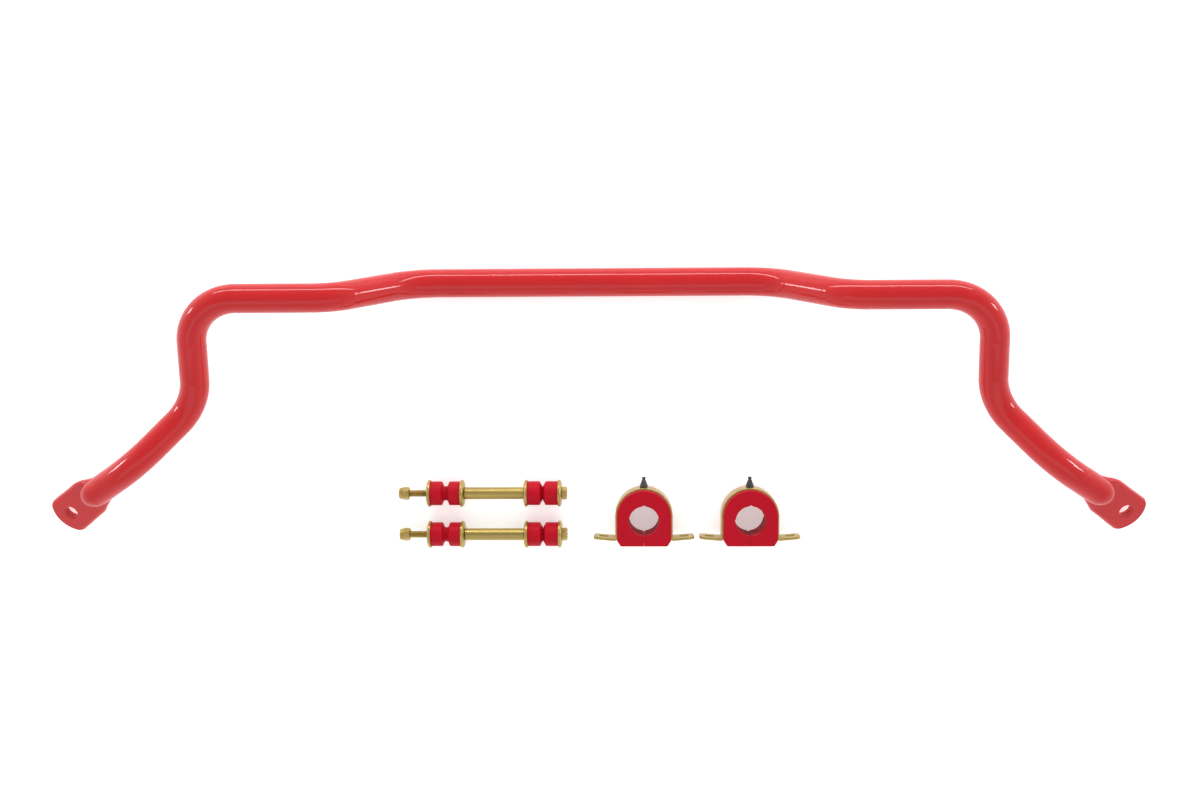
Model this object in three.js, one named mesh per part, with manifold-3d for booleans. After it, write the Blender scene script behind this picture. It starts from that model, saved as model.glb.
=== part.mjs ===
// A front sway bar kit laid out flat: a bent tubular bar with flattened eyes, two end links,
// and two frame bushings in their brackets. Millimetres, +Z up, resting on z = 0.
// +X runs along the bar and +Y points from the eyes to the bar's centre section.
import * as THREE from "three";
import { mergeVertices } from "three/addons/utils/BufferGeometryUtils.js";
import Module from "manifold-3d";

const wasm = await Module();
wasm.setup();

// ---------- driving dimensions ----------
const GAP = 0.3; // clearance between pieces that touch
const JOIN = 1; // how far shapes that are joined or cut run into or past each other

// the bar: a 1-1/4 in tube, right half, the left half is its mirror image
const TUBE_RADIUS = 15.875;
const TUBE_WALL = 4.75;
const BEND_POINTS = [
  { at: [0, 0, TUBE_RADIUS], radius: 0 },
  { at: [196.9, 0, TUBE_RADIUS], radius: 70 }, // end of the centre section
  { at: [271.9, -14.1, 89.8], radius: 55 }, // start of the raised shoulder
  { at: [424.2, -14.1, 89.8], radius: 54 }, // shoulder corner
  { at: [433.5, -130.1, 47.6], radius: 65 }, // elbow of the arm
  { at: [500.1, -196.2, 58.6], radius: 136 }, // gentle bend of the outward run
  { at: [560.9, -235, 36.9], radius: 73 }, // where the flattened eye starts
];
const EYE_DIRECTION = new THREE.Vector3(0.734, -0.521, -0.435).normalize();
const EYE_NORMAL_HINT = new THREE.Vector3(0.199, -0.448, 0.872);
const EYE_THICKNESS = 2 * TUBE_WALL;
const EYE_HOLE_RADIUS = 7.95;
const EYE_HOLE_AT = 40; // from the last bend point to the hole's centre
const EYE_TIP_AT = EYE_HOLE_AT + 21.8;
const EYE_TIP_RADIUS = 28.1;
const EYE_HALF_WIDTH = 22.3;
const EYE_TIP_HALF_WIDTH = 23;
const EYE_INNER_EXTRA = 1.5; // how much further the eye reaches on its inner side
const NECK_AT = -25; // where the tube starts to spread, measured past the last bend
const SPREAD_AT = 8; // where it has spread to the eye's width
const DOME_FROM = -5.5; // where the round top starts to fall
const DOME_AT = 13.6; // where it ends on the eye's face
const BELLY_FROM = -9; // the same below, where the round fades into the eye's back
const BELLY_AT = 18;
const SLOT_HALF = 0.3; // half the gap left between the tube's flattened walls
const TIP_BOW_FROM = 19.6; // where the sections start to bow towards the rounded tip
// the skins' sections past the last bend, closest where the dome meets the eye's face
const OUTER_SECTIONS = [NECK_AT, -15, -8, -3, 2, 6, 9, 11.5, 13, DOME_AT, 18, 26, 36, 48, EYE_TIP_AT];
const INNER_SECTIONS = [NECK_AT, -14, -6, 0, 4, 7, 9, 11, 13, 28, EYE_TIP_AT];
const BEND_STEP = 13; // the outer skin's step round a bend; the inner skin's is twice as long
const CLEAR_OF_NECK = 2; // the last plain section stays this far from the neck

// the end links: a 5/16 in bolt through washers, bushes and a spacer sleeve
const LINK_NUT_END_X = -217.5;
const LINK_ROWS = { rear: -235, front: -281.6 };
const LINK_LENGTH = 188.7;
const OUTER_WASHER_AT = 31.5; // from the nut's outer end
const WASHER_RADIUS = 15.2;
const WASHER_DISC = 2.4;
const WASHER_CUP = 1.6; // how far the rim stands out towards the bush
const WASHER_RIM = 1.4;
const WASHER_BORE = 4.5;
const BUSH_RADIUS = 13.5;
const BUSH_BORE = 4.4;
const BUSH_CHAMFER = 3.2; // of the head-side bushes, which meet in a sharp V
const CLAMP_BUSH_CHAMFER = 2.2; // of the nut-side bushes, which meet neck to neck
const BUSH_NOSE_RADIUS = 7.6;
const BUSH_EDGE = 1; // the small chamfer round a bush's seat
const NIPPLE_RADIUS = 8.2;
const NIPPLE_LENGTH = 1.9;
const BOLT_RADIUS = 3.97;
const BOLT_POINT = 1; // the chamfer at the bolt's end
const BOLT_END_AT = 1; // the bolt's end, from the nut's outer end
const HEX_ACROSS_FLATS = 13;
const HEX_CHAMFER = 0.35; // a hexagon's turned-down corner, as a share of its corner radius
const HEAD_HEIGHT = 5.8;
const NUT_HEX_HEIGHT = 7.8;
const NUT_HEIGHT = 11.3;
const NUT_COLLAR_RADIUS = 6.3;
const COLLAR_ROUNDING = { at: [0, 0.7, 1.6], inset: [1, 0.3, 0] };
const NUT_BORE = 4.25;
const INSERT_RADIUS = 5.1;
const INSERT_HEIGHT = 2;
const INSERT_AT = 1.4; // from the nut's outer end
const SLEEVE_RADIUS = 6.7;
const SLEEVE_BORE = 4.5;
const SLEEVE_LENGTH = 66.4;
const OUTER_PAIR_BUSH = 16.1; // the bushes that clamp the bar's eye, without their nipples
const INNER_PAIR_BUSH = 18.5; // the bush under the bolt's head, which meets its pair face to face

// the frame bushings and their brackets, lying on their rear faces
const BRACKET_CENTRES_X = { left: 57.1, right: 175 };
const BRACKET_BORE_Y = -263.5;
const BORE_RADIUS = 16.6;
const BUSHING_LENGTH = 36.5;
const BUSHING_HALF_WIDTH = 30.1;
const BUSHING_BASE = 28.1; // from the bore's axis to the flat base
const ARCH_RISE = 3.8; // the arch's centre above the bore's axis
const BASE_CHAMFER_X = 4.2;
const BASE_CHAMFER_Y = 6.7;
const GROOVE_DEPTH = 1.5;
const GROOVE_EDGE = 6.8; // width of the lip on each side of the bracket's groove
const SLIT_WIDTH = 0.4;
const GREASE_WAY_RADIUS = 1.8;
const STRAP_THICKNESS = 3;
const FLANGE_REACH = 56.2; // from the centre to a flange's tip
const FLANGE_ABOVE_BASE = 4.5;
const FLANGE_RISE = THREE.MathUtils.degToRad(5);
const FLANGE_HOLE_RADIUS = 5.2;
const FLANGE_HOLE_AT = 45;
const FLANGE_CORNER = 6;
const FLANGE_TIP_SLANT = 0.3;
const FITTING_STEM = 2.9;
const FITTING_HEX = 6;
const FITTING_HEX_HEIGHT = 2.2;
const FITTING_HEAD = 1.9;
const FITTING_NECK = 1.4;
const FITTING_HEAD_STEP = 0.8; // the head's lower cone, band and upper cone are each this long
const FITTING_MOUTH = 0.9;
const FITTING_HEIGHT = 5.8;
const CAP_HEIGHT = 11;
const CAP_BASE_RADIUS = 4.7;
const CAP_TAPER = 0.4;
const CAP_WALL = 0.6;
const CAP_SKIRT_HEIGHT = 3.5;
const CAP_SHOULDER_HEIGHT = 6;
const CAP_TIP_FROM = 7.6;
const CAP_TIP_RADIUS = 2;

// ---------- materials ----------
const finish = (color, roughness, metalness) => () =>
  new THREE.MeshStandardMaterial({ color, roughness, metalness });
const powderCoat = finish(0xc4161c, 0.25, 0);
const polyurethane = finish(0xc8102e, 0.45, 0);
const yellowZinc = finish(0xb99a55, 0.35, 1);
const nylon = finish(0xe9e4d2, 0.5, 0);
const blackRubber = finish(0x2b2b2e, 0.6, 0);

// ---------- solids ----------
function toSolid(geometry) {
  const bare = geometry.clone();
  bare.deleteAttribute("normal");
  bare.deleteAttribute("uv");
  const merged = mergeVertices(bare, 1e-4);
  return new wasm.Manifold(
    new wasm.Mesh({
      numProp: 3,
      vertProperties: new Float32Array(merged.attributes.position.array),
      triVerts: new Uint32Array(merged.index.array),
    }),
  );
}

function toGeometry(solid) {
  const mesh = solid.getMesh();
  const geometry = new THREE.BufferGeometry();
  geometry.setAttribute("position", new THREE.BufferAttribute(mesh.vertProperties, 3));
  geometry.setIndex(new THREE.BufferAttribute(mesh.triVerts, 1));
  return geometry;
}

// A turned piece about +Y from a closed or axis-to-axis profile of [radius, height] pairs.
function turned(profile, segments = 20) {
  const points = profile.map(([r, h]) => new THREE.Vector2(r, h));
  return new THREE.LatheGeometry(points, segments);
}

// A tube ring about +X from x = 0: a closed profile of [radius, x] pairs, with a bore.
function ringAlongX(profile, segments = 20) {
  return turned([...profile, profile[0]], segments).rotateZ(-Math.PI / 2);
}

// A regular hexagon with its corners turned down, as a solid along +X, with corners at its sides.
function hexAlongX(acrossFlats, height, chamferFrom, chamferTo) {
  const corner = acrossFlats / Math.sqrt(3);
  const outside = corner + JOIN;
  const chamfer = corner * HEX_CHAMFER;
  const sliver = 0.01; // keeps the profile's points apart at a square end
  const prism = new THREE.CylinderGeometry(corner, corner, height, 6).rotateY(Math.PI / 6);
  prism.rotateZ(-Math.PI / 2).translate(height / 2, 0, 0);
  const turnedDown = turned([
    [0, 0],
    [chamferFrom ? acrossFlats / 2 : outside, 0],
    [outside, chamferFrom ? chamfer : sliver],
    [outside, chamferTo ? height - chamfer : height - sliver],
    [chamferTo ? acrossFlats / 2 : outside, height],
    [0, height],
  ]).rotateZ(-Math.PI / 2);
  return toSolid(prism).intersect(toSolid(turnedDown));
}

// ---------- the bar ----------
// The centreline is straight runs joined by round bends. It gives a point and a direction at any
// distance along it, the distances where the bends start and end, and where the last bend is.
function barRoute() {
  const corners = BEND_POINTS.map(({ at }) => new THREE.Vector3(...at));
  corners.push(corners.at(-1).clone().addScaledVector(EYE_DIRECTION, EYE_TIP_AT));
  const pieces = [];
  let from = corners[0];
  let travelled = 0;
  const addPiece = (bend, length, at) => {
    pieces.push({ bend, start: travelled, length, at });
    travelled += length;
  };
  for (let i = 1; i < corners.length; i++) {
    const into = corners[i].clone().sub(from).normalize();
    const last = i === corners.length - 1;
    const out = last ? into : corners[i + 1].clone().sub(corners[i]).normalize();
    const angle = last ? 0 : into.angleTo(out);
    const radius = last ? 0 : BEND_POINTS[i].radius;
    const start = corners[i].clone().addScaledVector(into, -radius * Math.tan(angle / 2));
    const origin = from.clone();
    addPiece(false, origin.distanceTo(start), (u) => ({
      point: origin.clone().addScaledVector(into, u),
      way: into.clone(),
    }));
    if (last) break;
    const inward = out.clone().addScaledVector(into, -into.dot(out)).normalize();
    const arcPoint = (u) => ({
      point: start
        .clone()
        .addScaledVector(into, radius * Math.sin(u / radius))
        .addScaledVector(inward, radius * (1 - Math.cos(u / radius))),
      way: into
        .clone()
        .multiplyScalar(Math.cos(u / radius))
        .addScaledVector(inward, Math.sin(u / radius)),
    });
    addPiece(true, radius * angle, arcPoint);
    from = arcPoint(radius * angle).point;
  }
  const lastBend = pieces.at(-2);
  const at = (distance) => {
    const piece = pieces.find(({ start, length }) => distance <= start + length) ?? pieces.at(-1);
    return piece.at(distance - piece.start);
  };
  return { pieces, at, eyeStart: lastBend.start + lastBend.length / 2 };
}

const smooth = (from, to, value) => THREE.MathUtils.smoothstep(value, from, to);
const dome = (from, to, value) =>
  Math.sqrt(1 - THREE.MathUtils.clamp((value - from) / (to - from), 0, 1) ** 2);

// One closed section of the outer or inner skin, as [across, up, along] offsets, s past the last
// bend. The tube is pressed flat there: its round top ends in a dome on the eye's face, its
// underside fades into the eye's back, and its edges spread sideways.
function skinSection(s, inner, sides) {
  const inset = inner ? TUBE_WALL : 0;
  const round = TUBE_RADIUS - inset;
  const half = inner ? SLOT_HALF : EYE_THICKNESS / 2;
  const spread = smooth(NECK_AT, SPREAD_AT, s);
  const flare = smooth(SPREAD_AT, EYE_TIP_AT, s);
  const outerWidth =
    round +
    (EYE_HALF_WIDTH - TUBE_RADIUS) * spread +
    (EYE_TIP_HALF_WIDTH - EYE_HALF_WIDTH) * flare;
  const innerWidth = outerWidth + EYE_INNER_EXTRA * spread;
  const sunk = (EYE_THICKNESS / 2) * smooth(NECK_AT, DOME_AT, s);
  const topSize = dome(DOME_FROM - inset, DOME_AT - inset, s);
  const bellySize = dome(BELLY_FROM - inset, BELLY_AT - inset, s);
  const bow = smooth(TIP_BOW_FROM, EYE_TIP_AT, s);
  const bulge = (size, x) => {
    const left = size ** 2 - (x / round) ** 2;
    return left > 0 ? round * Math.sqrt(left) : -Infinity;
  };
  return Array.from({ length: sides }, (_, k) => {
    const turn = (2 * Math.PI * k) / sides;
    const width = Math.cos(turn) < 0 ? innerWidth : outerWidth;
    const x = width * Math.cos(turn);
    const fromMiddle = x + EYE_INNER_EXTRA / 2;
    const overEdge = Math.max(0, Math.abs(x) - (width - half));
    const slab = Math.sqrt(Math.max(0, half ** 2 - overEdge ** 2));
    const sag = EYE_TIP_RADIUS - Math.sqrt(EYE_TIP_RADIUS ** 2 - fromMiddle ** 2);
    let up = -sunk;
    if (k > 0 && 2 * k < sides) up = Math.max(slab - sunk, bulge(topSize, x));
    if (2 * k > sides) up = Math.min(-slab - sunk, -bulge(bellySize, x));
    return [x, up, -sag * bow];
  });
}

// The outer or inner skin of the whole bar as a closed solid, lofted from tip to tip.
function barSkin({ inner, sides, bendStep, eyeSections, overrun }) {
  const route = barRoute();
  const distances = [0];
  route.pieces.forEach(({ start, length, bend }) => {
    const steps = bend ? Math.round(length / bendStep) : 0;
    for (let k = 0; k <= steps; k++) if (bend) distances.push(start + (length * k) / steps);
  });
  const body = distances.filter((distance) => distance < route.eyeStart + NECK_AT - CLEAR_OF_NECK);
  const eye = eyeSections.map((s) => route.eyeStart + s);
  const half = [...body, ...eye].map((distance) => {
    const { point, way } = route.at(distance);
    return { point, way, s: distance - route.eyeStart };
  });
  if (overrun) {
    const { point, way, s } = half.at(-1);
    half.push({ point: point.clone().addScaledVector(way, overrun), way, s });
  }
  let up = EYE_NORMAL_HINT.clone();
  const rings = [];
  for (const { point, way, s } of half.reverse()) {
    up = up.clone().addScaledVector(way, -up.dot(way)).normalize();
    const across = new THREE.Vector3().crossVectors(up, way);
    const ring = skinSection(s, inner, sides).map(([x, z, along]) =>
      point.clone().addScaledVector(across, x).addScaledVector(up, z).addScaledVector(way, along),
    );
    rings.unshift(ring);
  }
  const mirrored = rings
    .slice(1)
    .reverse()
    .map((ring) => ring.map(({ x, y, z }) => new THREE.Vector3(-x, y, z)));
  return loft([...mirrored, ...rings]);
}

// A closed solid through rings of equal length. The ends are closed by strips that join the
// points above and below each other.
function loft(rings) {
  const sides = rings[0].length;
  const index = [];
  for (let r = 0; r < rings.length - 1; r++) {
    for (let k = 0; k < sides; k++) {
      const a = r * sides + k;
      const b = r * sides + ((k + 1) % sides);
      index.push(a, b, a + sides, b, b + sides, a + sides);
    }
  }
  const endStrip = (base, flip) => {
    for (let k = 0; k < sides / 2; k++) {
      const corners = [k, k + 1, sides - k - 1, (sides - k) % sides].map((n) => base + n);
      const faces = [
        [corners[0], corners[1], corners[2]],
        [corners[0], corners[2], corners[3]],
      ].filter((face) => new Set(face).size === 3);
      for (const [a, b, c] of faces) index.push(...(flip ? [a, b, c] : [a, c, b]));
    }
  };
  endStrip(0, false);
  endStrip((rings.length - 1) * sides, true);
  const geometry = new THREE.BufferGeometry();
  const positions = rings.flat().flatMap(({ x, y, z }) => [x, y, z]);
  geometry.setAttribute("position", new THREE.Float32BufferAttribute(positions, 3));
  geometry.setIndex(index);
  const solid = toSolid(geometry);
  return solid.volume() > 0 ? solid : toSolid(flipped(geometry));
}

function flipped(geometry) {
  const turnedOver = geometry.clone();
  const index = Array.from(geometry.index.array);
  for (let i = 0; i < index.length; i += 3) {
    [index[i + 1], index[i + 2]] = [index[i + 2], index[i + 1]];
  }
  turnedOver.setIndex(index);
  return turnedOver;
}

function eyeHole(side) {
  const route = barRoute();
  const { point, way } = route.at(route.eyeStart + EYE_HOLE_AT);
  const normal = EYE_NORMAL_HINT.clone();
  normal.addScaledVector(way, -normal.dot(way)).normalize();
  const through = 4 * EYE_THICKNESS;
  const hole = new THREE.CylinderGeometry(EYE_HOLE_RADIUS, EYE_HOLE_RADIUS, through, 24);
  const turn = new THREE.Quaternion().setFromUnitVectors(new THREE.Vector3(0, 1, 0), normal);
  hole.applyQuaternion(turn);
  hole.translate(point.x, point.y, point.z);
  return side === "left" ? toSolid(flipped(hole.scale(-1, 1, 1))) : toSolid(hole);
}

function swayBar() {
  const outer = barSkin({
    inner: false,
    sides: 20,
    bendStep: BEND_STEP,
    eyeSections: OUTER_SECTIONS,
    overrun: 0,
  });
  const inner = barSkin({
    inner: true,
    sides: 10,
    bendStep: 2 * BEND_STEP,
    eyeSections: INNER_SECTIONS,
    overrun: 6 * JOIN,
  });
  return toGeometry(
    outer.subtract(inner).subtract(eyeHole("left")).subtract(eyeHole("right")),
  );
}

// ---------- the end links, built along +X from the nut's end ----------
function washer(cupWay) {
  const profile = [
    [WASHER_BORE, 0],
    [WASHER_RADIUS, 0],
    [WASHER_RADIUS, WASHER_DISC + WASHER_CUP],
    [WASHER_RADIUS - WASHER_RIM, WASHER_DISC + WASHER_CUP],
    [WASHER_RADIUS - WASHER_RIM, WASHER_DISC],
    [WASHER_BORE, WASHER_DISC],
  ];
  const ring = ringAlongX(profile);
  return cupWay > 0 ? ring : ring.rotateZ(Math.PI);
}

// A bush with its flat seat at x = 0 and its chamfered end towards +X.
function bush(length, nipple = 0) {
  const nose = nipple ? NIPPLE_RADIUS : BUSH_NOSE_RADIUS;
  const chamfer = nipple ? CLAMP_BUSH_CHAMFER : BUSH_CHAMFER;
  const profile = [
    [BUSH_BORE, 0],
    [BUSH_RADIUS - BUSH_EDGE, 0],
    [BUSH_RADIUS, BUSH_EDGE],
    [BUSH_RADIUS, length - chamfer],
    [nose, length],
    ...(nipple ? [[nose, length + nipple]] : []),
    [BUSH_BORE, length + nipple],
  ];
  return ringAlongX(profile);
}

function sleeve() {
  return ringAlongX(
    [
      [SLEEVE_BORE, 0],
      [SLEEVE_RADIUS, 0],
      [SLEEVE_RADIUS, SLEEVE_LENGTH],
      [SLEEVE_BORE, SLEEVE_LENGTH],
    ],
    16,
  );
}

function boltAlongX(from, headAt) {
  const shank = turned(
    [
      [0, 0],
      [BOLT_RADIUS - BOLT_POINT, 0],
      [BOLT_RADIUS, BOLT_POINT],
      [BOLT_RADIUS, headAt - from + JOIN],
      [0, headAt - from + JOIN],
    ],
    16,
  ).rotateZ(-Math.PI / 2);
  shank.translate(from, 0, 0);
  const head = hexAlongX(HEX_ACROSS_FLATS, HEAD_HEIGHT, false, true);
  return toSolid(shank).add(head.translate([headAt, 0, 0]));
}

// The lock nut: a hexagon with a round collar at its outer end, which holds a nylon ring.
function lockNut() {
  const collarLength = NUT_HEIGHT - NUT_HEX_HEIGHT;
  const collar = turned(
    [
      [0, 0],
      ...COLLAR_ROUNDING.at.map((at, i) => [NUT_COLLAR_RADIUS - COLLAR_ROUNDING.inset[i], at]),
      [NUT_COLLAR_RADIUS, collarLength + JOIN],
      [0, collarLength + JOIN],
    ],
    16,
  ).rotateZ(-Math.PI / 2);
  const hex = hexAlongX(HEX_ACROSS_FLATS, NUT_HEX_HEIGHT, true, true);
  const pocket = turned(
    [
      [0, -JOIN],
      [NUT_BORE, -JOIN],
      [NUT_BORE, INSERT_AT - GAP],
      [INSERT_RADIUS + GAP, INSERT_AT - GAP],
      [INSERT_RADIUS + GAP, INSERT_AT + INSERT_HEIGHT + GAP],
      [NUT_BORE, INSERT_AT + INSERT_HEIGHT + GAP],
      [NUT_BORE, NUT_HEIGHT + JOIN],
      [0, NUT_HEIGHT + JOIN],
    ],
    16,
  ).rotateZ(-Math.PI / 2);
  return toSolid(collar).add(hex.translate([collarLength, 0, 0])).subtract(toSolid(pocket));
}

function nylonInsert() {
  return ringAlongX(
    [
      [NUT_BORE, 0],
      [INSERT_RADIUS, 0],
      [INSERT_RADIUS, INSERT_HEIGHT],
      [NUT_BORE, INSERT_HEIGHT],
    ],
    16,
  );
}

function addLink(group, side, rowY) {
  const link = new THREE.Group();
  link.position.set(LINK_NUT_END_X, rowY, WASHER_RADIUS);
  const place = (name, geometry, material, x) => {
    const mesh = new THREE.Mesh(geometry, material());
    mesh.name = `${side}_link_${name}`;
    mesh.position.x = x;
    link.add(mesh);
  };
  const facingBack = (geometry) => geometry.rotateZ(Math.PI);
  const headAt = LINK_LENGTH - HEAD_HEIGHT;
  // the pair of bushes at the nut's end clamps the bar's eye, the pair at the head the arm
  const outerWasher = OUTER_WASHER_AT;
  const outerBush = outerWasher + WASHER_DISC + GAP;
  const nipplesMeet = outerBush + OUTER_PAIR_BUSH + NIPPLE_LENGTH;
  const secondBush = nipplesMeet + GAP + NIPPLE_LENGTH + OUTER_PAIR_BUSH;
  const secondWasher = secondBush + GAP + WASHER_DISC;
  const sleeveStart = secondWasher + GAP;
  const thirdWasher = sleeveStart + SLEEVE_LENGTH + GAP;
  const thirdBush = thirdWasher + WASHER_DISC + GAP;
  const fourthWasher = headAt - GAP;
  const fourthBush = fourthWasher - WASHER_DISC - GAP;
  const thirdLength = fourthBush - INNER_PAIR_BUSH - GAP - thirdBush;
  const clampBush = () => bush(OUTER_PAIR_BUSH, NIPPLE_LENGTH);

  place("bolt", toGeometry(boltAlongX(BOLT_END_AT, headAt)), yellowZinc, 0);
  place("lock_nut", toGeometry(lockNut()), yellowZinc, 0);
  place("nylon_insert", nylonInsert(), nylon, INSERT_AT);
  place("outer_washer", washer(1), yellowZinc, outerWasher);
  place("outer_bush", clampBush(), polyurethane, outerBush);
  place("second_bush", facingBack(clampBush()), polyurethane, secondBush);
  place("second_washer", washer(-1), yellowZinc, secondWasher);
  place("spacer_sleeve", sleeve(), yellowZinc, sleeveStart);
  place("third_washer", washer(1), yellowZinc, thirdWasher);
  place("third_bush", bush(thirdLength), polyurethane, thirdBush);
  place("head_bush", facingBack(bush(INNER_PAIR_BUSH)), polyurethane, fourthBush);
  place("head_washer", washer(-1), yellowZinc, fourthWasher);
  group.add(link);
}

// ---------- the frame bushings and brackets, built flat with the bore's axis along +Z ----------
// The D-shaped outline round the bore's axis, moved in by inset except at its base.
function bushingOutline(inset) {
  const half = BUSHING_HALF_WIDTH - inset;
  const shape = new THREE.Shape();
  shape.moveTo(-half + BASE_CHAMFER_X, -BUSHING_BASE);
  shape.lineTo(half - BASE_CHAMFER_X, -BUSHING_BASE);
  shape.lineTo(half, -BUSHING_BASE + BASE_CHAMFER_Y);
  shape.lineTo(half, ARCH_RISE);
  shape.absarc(0, ARCH_RISE, half, 0, Math.PI, false);
  shape.lineTo(-half, -BUSHING_BASE + BASE_CHAMFER_Y);
  shape.closePath();
  return shape;
}

function slab(shape, from, to, curveSegments = 14) {
  const geometry = new THREE.ExtrudeGeometry(shape, {
    depth: to - from,
    bevelEnabled: false,
    curveSegments,
  });
  return toSolid(geometry.translate(0, 0, from));
}

function frameBushing() {
  const inside = BUSHING_LENGTH - GROOVE_EDGE;
  const middle = BUSHING_LENGTH / 2;
  const through = BUSHING_LENGTH + 2 * JOIN;
  const bore = new THREE.CylinderGeometry(BORE_RADIUS, BORE_RADIUS, through, 28);
  bore.rotateX(Math.PI / 2).translate(0, 0, middle);
  const slit = new THREE.BoxGeometry(SLIT_WIDTH, BUSHING_BASE, through);
  slit.translate(0, -BUSHING_BASE, middle);
  const wayLength = BUSHING_HALF_WIDTH; // from inside the bore to above the arch
  const greaseWay = new THREE.CylinderGeometry(GREASE_WAY_RADIUS, GREASE_WAY_RADIUS, wayLength, 10);
  greaseWay.translate(0, wayLength, middle);
  return slab(bushingOutline(0), 0, GROOVE_EDGE)
    .add(slab(bushingOutline(0), inside, BUSHING_LENGTH))
    .add(slab(bushingOutline(GROOVE_DEPTH), GROOVE_EDGE - JOIN, inside + JOIN))
    .subtract(toSolid(bore))
    .subtract(toSolid(slit))
    .subtract(toSolid(greaseWay));
}

// The strap's edge seen along the bore: an arch with two feet that rise a little to their tips.
function strapOutline() {
  const innerR = BUSHING_HALF_WIDTH - GROOVE_DEPTH + GAP;
  const outerR = innerR + STRAP_THICKNESS;
  const footUnder = -BUSHING_BASE + FLANGE_ABOVE_BASE;
  const rise = (x) => (Math.abs(x) - innerR) * Math.tan(FLANGE_RISE);
  const footTop = footUnder + STRAP_THICKNESS;
  const bend = STRAP_THICKNESS;
  const shape = new THREE.Shape();
  shape.moveTo(innerR, footUnder);
  shape.lineTo(FLANGE_REACH, footUnder + rise(FLANGE_REACH));
  shape.lineTo(FLANGE_REACH - FLANGE_TIP_SLANT, footTop + rise(FLANGE_REACH));
  shape.lineTo(outerR + bend, footTop + rise(outerR + bend));
  shape.quadraticCurveTo(outerR, footTop + rise(outerR), outerR, footTop + bend);
  shape.lineTo(outerR, ARCH_RISE);
  shape.absarc(0, ARCH_RISE, outerR, 0, Math.PI, false);
  shape.lineTo(-outerR, footTop + bend);
  const bendEnd = outerR + bend;
  shape.quadraticCurveTo(-outerR, footTop + rise(outerR), -bendEnd, footTop + rise(bendEnd));
  shape.lineTo(-FLANGE_REACH + FLANGE_TIP_SLANT, footTop + rise(FLANGE_REACH));
  shape.lineTo(-FLANGE_REACH, footUnder + rise(FLANGE_REACH));
  shape.lineTo(-innerR, footUnder);
  shape.lineTo(-innerR, ARCH_RISE);
  shape.absarc(0, ARCH_RISE, innerR, Math.PI, 0, true);
  shape.closePath();
  return shape;
}

// The bracket: a strap over the bushing's groove, with rounded feet, bolt holes and a hole for
// the grease fitting at the top of its arch.
function bracketStrap() {
  const from = GROOVE_EDGE + GAP;
  const to = BUSHING_LENGTH - GROOVE_EDGE - GAP;
  const cornerX = FLANGE_REACH - FLANGE_CORNER;
  const plan = new THREE.Shape();
  plan.absarc(cornerX, from + FLANGE_CORNER, FLANGE_CORNER, -Math.PI / 2, 0, false);
  plan.absarc(cornerX, to - FLANGE_CORNER, FLANGE_CORNER, 0, Math.PI / 2, false);
  plan.absarc(-cornerX, to - FLANGE_CORNER, FLANGE_CORNER, Math.PI / 2, Math.PI, false);
  plan.absarc(-cornerX, from + FLANGE_CORNER, FLANGE_CORNER, Math.PI, 1.5 * Math.PI, false);
  plan.closePath();
  const tall = 2 * FLANGE_REACH;
  const upright = { depth: tall, bevelEnabled: false, curveSegments: 3 };
  const rounded = new THREE.ExtrudeGeometry(plan, upright);
  rounded.rotateX(Math.PI / 2).translate(0, tall / 2, 0);
  let strap = slab(strapOutline(), from, to, 12).intersect(toSolid(rounded));
  const middle = BUSHING_LENGTH / 2;
  for (const x of [-FLANGE_HOLE_AT, FLANGE_HOLE_AT]) {
    const length = 6 * STRAP_THICKNESS;
    const hole = new THREE.CylinderGeometry(FLANGE_HOLE_RADIUS, FLANGE_HOLE_RADIUS, length, 16);
    strap = strap.subtract(toSolid(hole.translate(x, -BUSHING_BASE + FLANGE_ABOVE_BASE, middle)));
  }
  const stemRoom = FITTING_STEM + GAP;
  const stemHole = new THREE.CylinderGeometry(stemRoom, stemRoom, 4 * STRAP_THICKNESS, 16);
  return toGeometry(strap.subtract(toSolid(stemHole.translate(0, archTop(), middle))));
}

// The height of the strap's arch above the bore's axis.
const archTop = () =>
  ARCH_RISE + BUSHING_HALF_WIDTH - GROOVE_DEPTH + GAP + STRAP_THICKNESS;

// The grease fitting stands on the arch, along +Y from its base at y = 0.
function greaseFitting() {
  const headFrom = FITTING_HEIGHT - 3 * FITTING_HEAD_STEP;
  const body = turned(
    [
      [0, -STRAP_THICKNESS],
      [FITTING_STEM, -STRAP_THICKNESS],
      [FITTING_STEM, GAP + FITTING_HEX_HEIGHT / 4],
      [FITTING_NECK, GAP + FITTING_HEX_HEIGHT / 2],
      [FITTING_NECK, headFrom],
      [FITTING_HEAD, headFrom + FITTING_HEAD_STEP],
      [FITTING_HEAD, headFrom + 2 * FITTING_HEAD_STEP],
      [FITTING_MOUTH, FITTING_HEIGHT],
      [0, FITTING_HEIGHT],
    ],
    16,
  );
  const hex = toGeometry(hexAlongX(FITTING_HEX, FITTING_HEX_HEIGHT, false, true));
  hex.rotateZ(Math.PI / 2).translate(0, GAP, 0);
  return toGeometry(toSolid(body).add(toSolid(hex)));
}

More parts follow.
